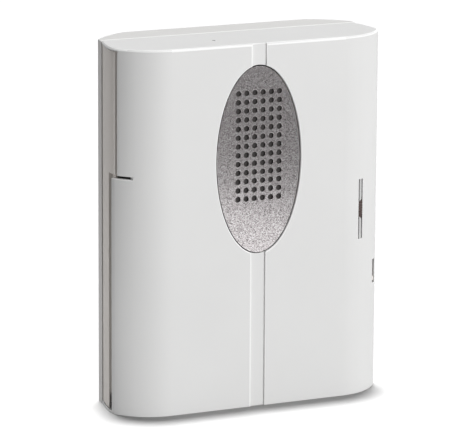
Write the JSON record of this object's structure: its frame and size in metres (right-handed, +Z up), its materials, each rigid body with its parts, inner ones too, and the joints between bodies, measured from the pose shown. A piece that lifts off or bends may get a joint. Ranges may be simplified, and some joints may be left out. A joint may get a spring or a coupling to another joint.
{
  "type": "doorbell chime box",
  "caption": "Wall-mounted electronic doorbell chime box: rounded white cover with a central channel and perforated oval grille, volume wheel and selector, on a shallow wall tray.",
  "frame": {"origin": "middle of the back face, on the wall plane", "axes": "+X to the right seen from the front, +Y into the wall, +Z up"},
  "size_m": [0.1176, 0.0444, 0.15],
  "materials": {
    "white_plastic": "satin moulded, white",
    "grey_plastic": "moulded, light grey",
    "black_rubber": "matte, black",
    "zinc_steel": "zinc plated",
    "silver_paint": "speckled metallic paint",
    "black_cloth": "acoustic cloth, black",
    "grey_paint": "satin grey paint",
    "ferrite": "dark ferrite",
    "copper_wire": "enamelled copper wire",
    "amber_cloth": "impregnated cloth",
    "black_paper": "pressed paper, black",
    "tan_board": "resin board",
    "red_plastic": "wire insulation, red",
    "green_board": "solder mask, green",
    "black_plastic": "moulded, black",
    "tin_plate": "tin plated",
    "blue_plastic": "shrink sleeve, blue",
    "green_plastic": "moulded, green",
    "brown_plastic": "moulded, dark brown",
    "cell_wrap": "printed sleeve, plain"
  },
  "bodies": {
    "wall_tray": {"rear_shell": "white_plastic", "cable_grommet": "black_rubber"},
    "unit": {"chassis": "grey_plastic", "front_cover": "white_plastic", "cover_screws": "zinc_steel", "grille_plate": "silver_paint", "grille_cloth": "black_cloth", "grille_nuts": "zinc_steel", "speaker_frame": "grey_paint", "speaker_yoke": "zinc_steel", "speaker_magnet": "ferrite", "speaker_top_plate": "zinc_steel", "speaker_spider": "amber_cloth", "speaker_surround": "black_rubber", "speaker_gasket": "black_rubber", "speaker_screws": "zinc_steel", "speaker_tags": "tan_board", "speaker_leads": "red_plastic", "circuit_board": "green_board", "board_screws": "zinc_steel", "sound_chip": "black_plastic", "chip_legs": "tin_plate", "capacitors": "blue_plastic", "terminal_block": "green_plastic", "terminal_screws": "zinc_steel", "volume_pot": "black_plastic", "switch_body": "tin_plate", "battery_cells": "cell_wrap", "battery_nubs": "tin_plate", "contact_plates": "tin_plate", "contact_springs": "tin_plate", "battery_leads": "black_plastic"},
    "wheel": {"volume_wheel": "brown_plastic"},
    "selector": {"switch_knob": "grey_plastic"},
    "cone": {"speaker_cone": "black_paper", "dust_cap": "black_paper", "voice_coil": "copper_wire"}
  },
  "joints": [
    {"name": "unit_pull", "type": "slide", "parent": "wall_tray", "child": "unit", "axis": [0, -1, 0], "range_m": [0, 0.05]},
    {"name": "volume_turn", "type": "hinge", "parent": "unit", "child": "wheel", "pos_m": [0.0464, -0.03335, 0.0029], "axis": [1, 0, 0], "range_deg": [-135, 135]},
    {"name": "selector_slide", "type": "slide", "parent": "unit", "child": "selector", "axis": [0, 0, 1], "range_m": [0, 0.0048]},
    {"name": "cone_move", "type": "slide", "parent": "unit", "child": "cone", "axis": [0, -1, 0], "range_m": [-0.0005, 0.0005], "stiffness_N_per_m": 1500, "deforming": ["speaker_surround", "speaker_spider"]}
  ]
}
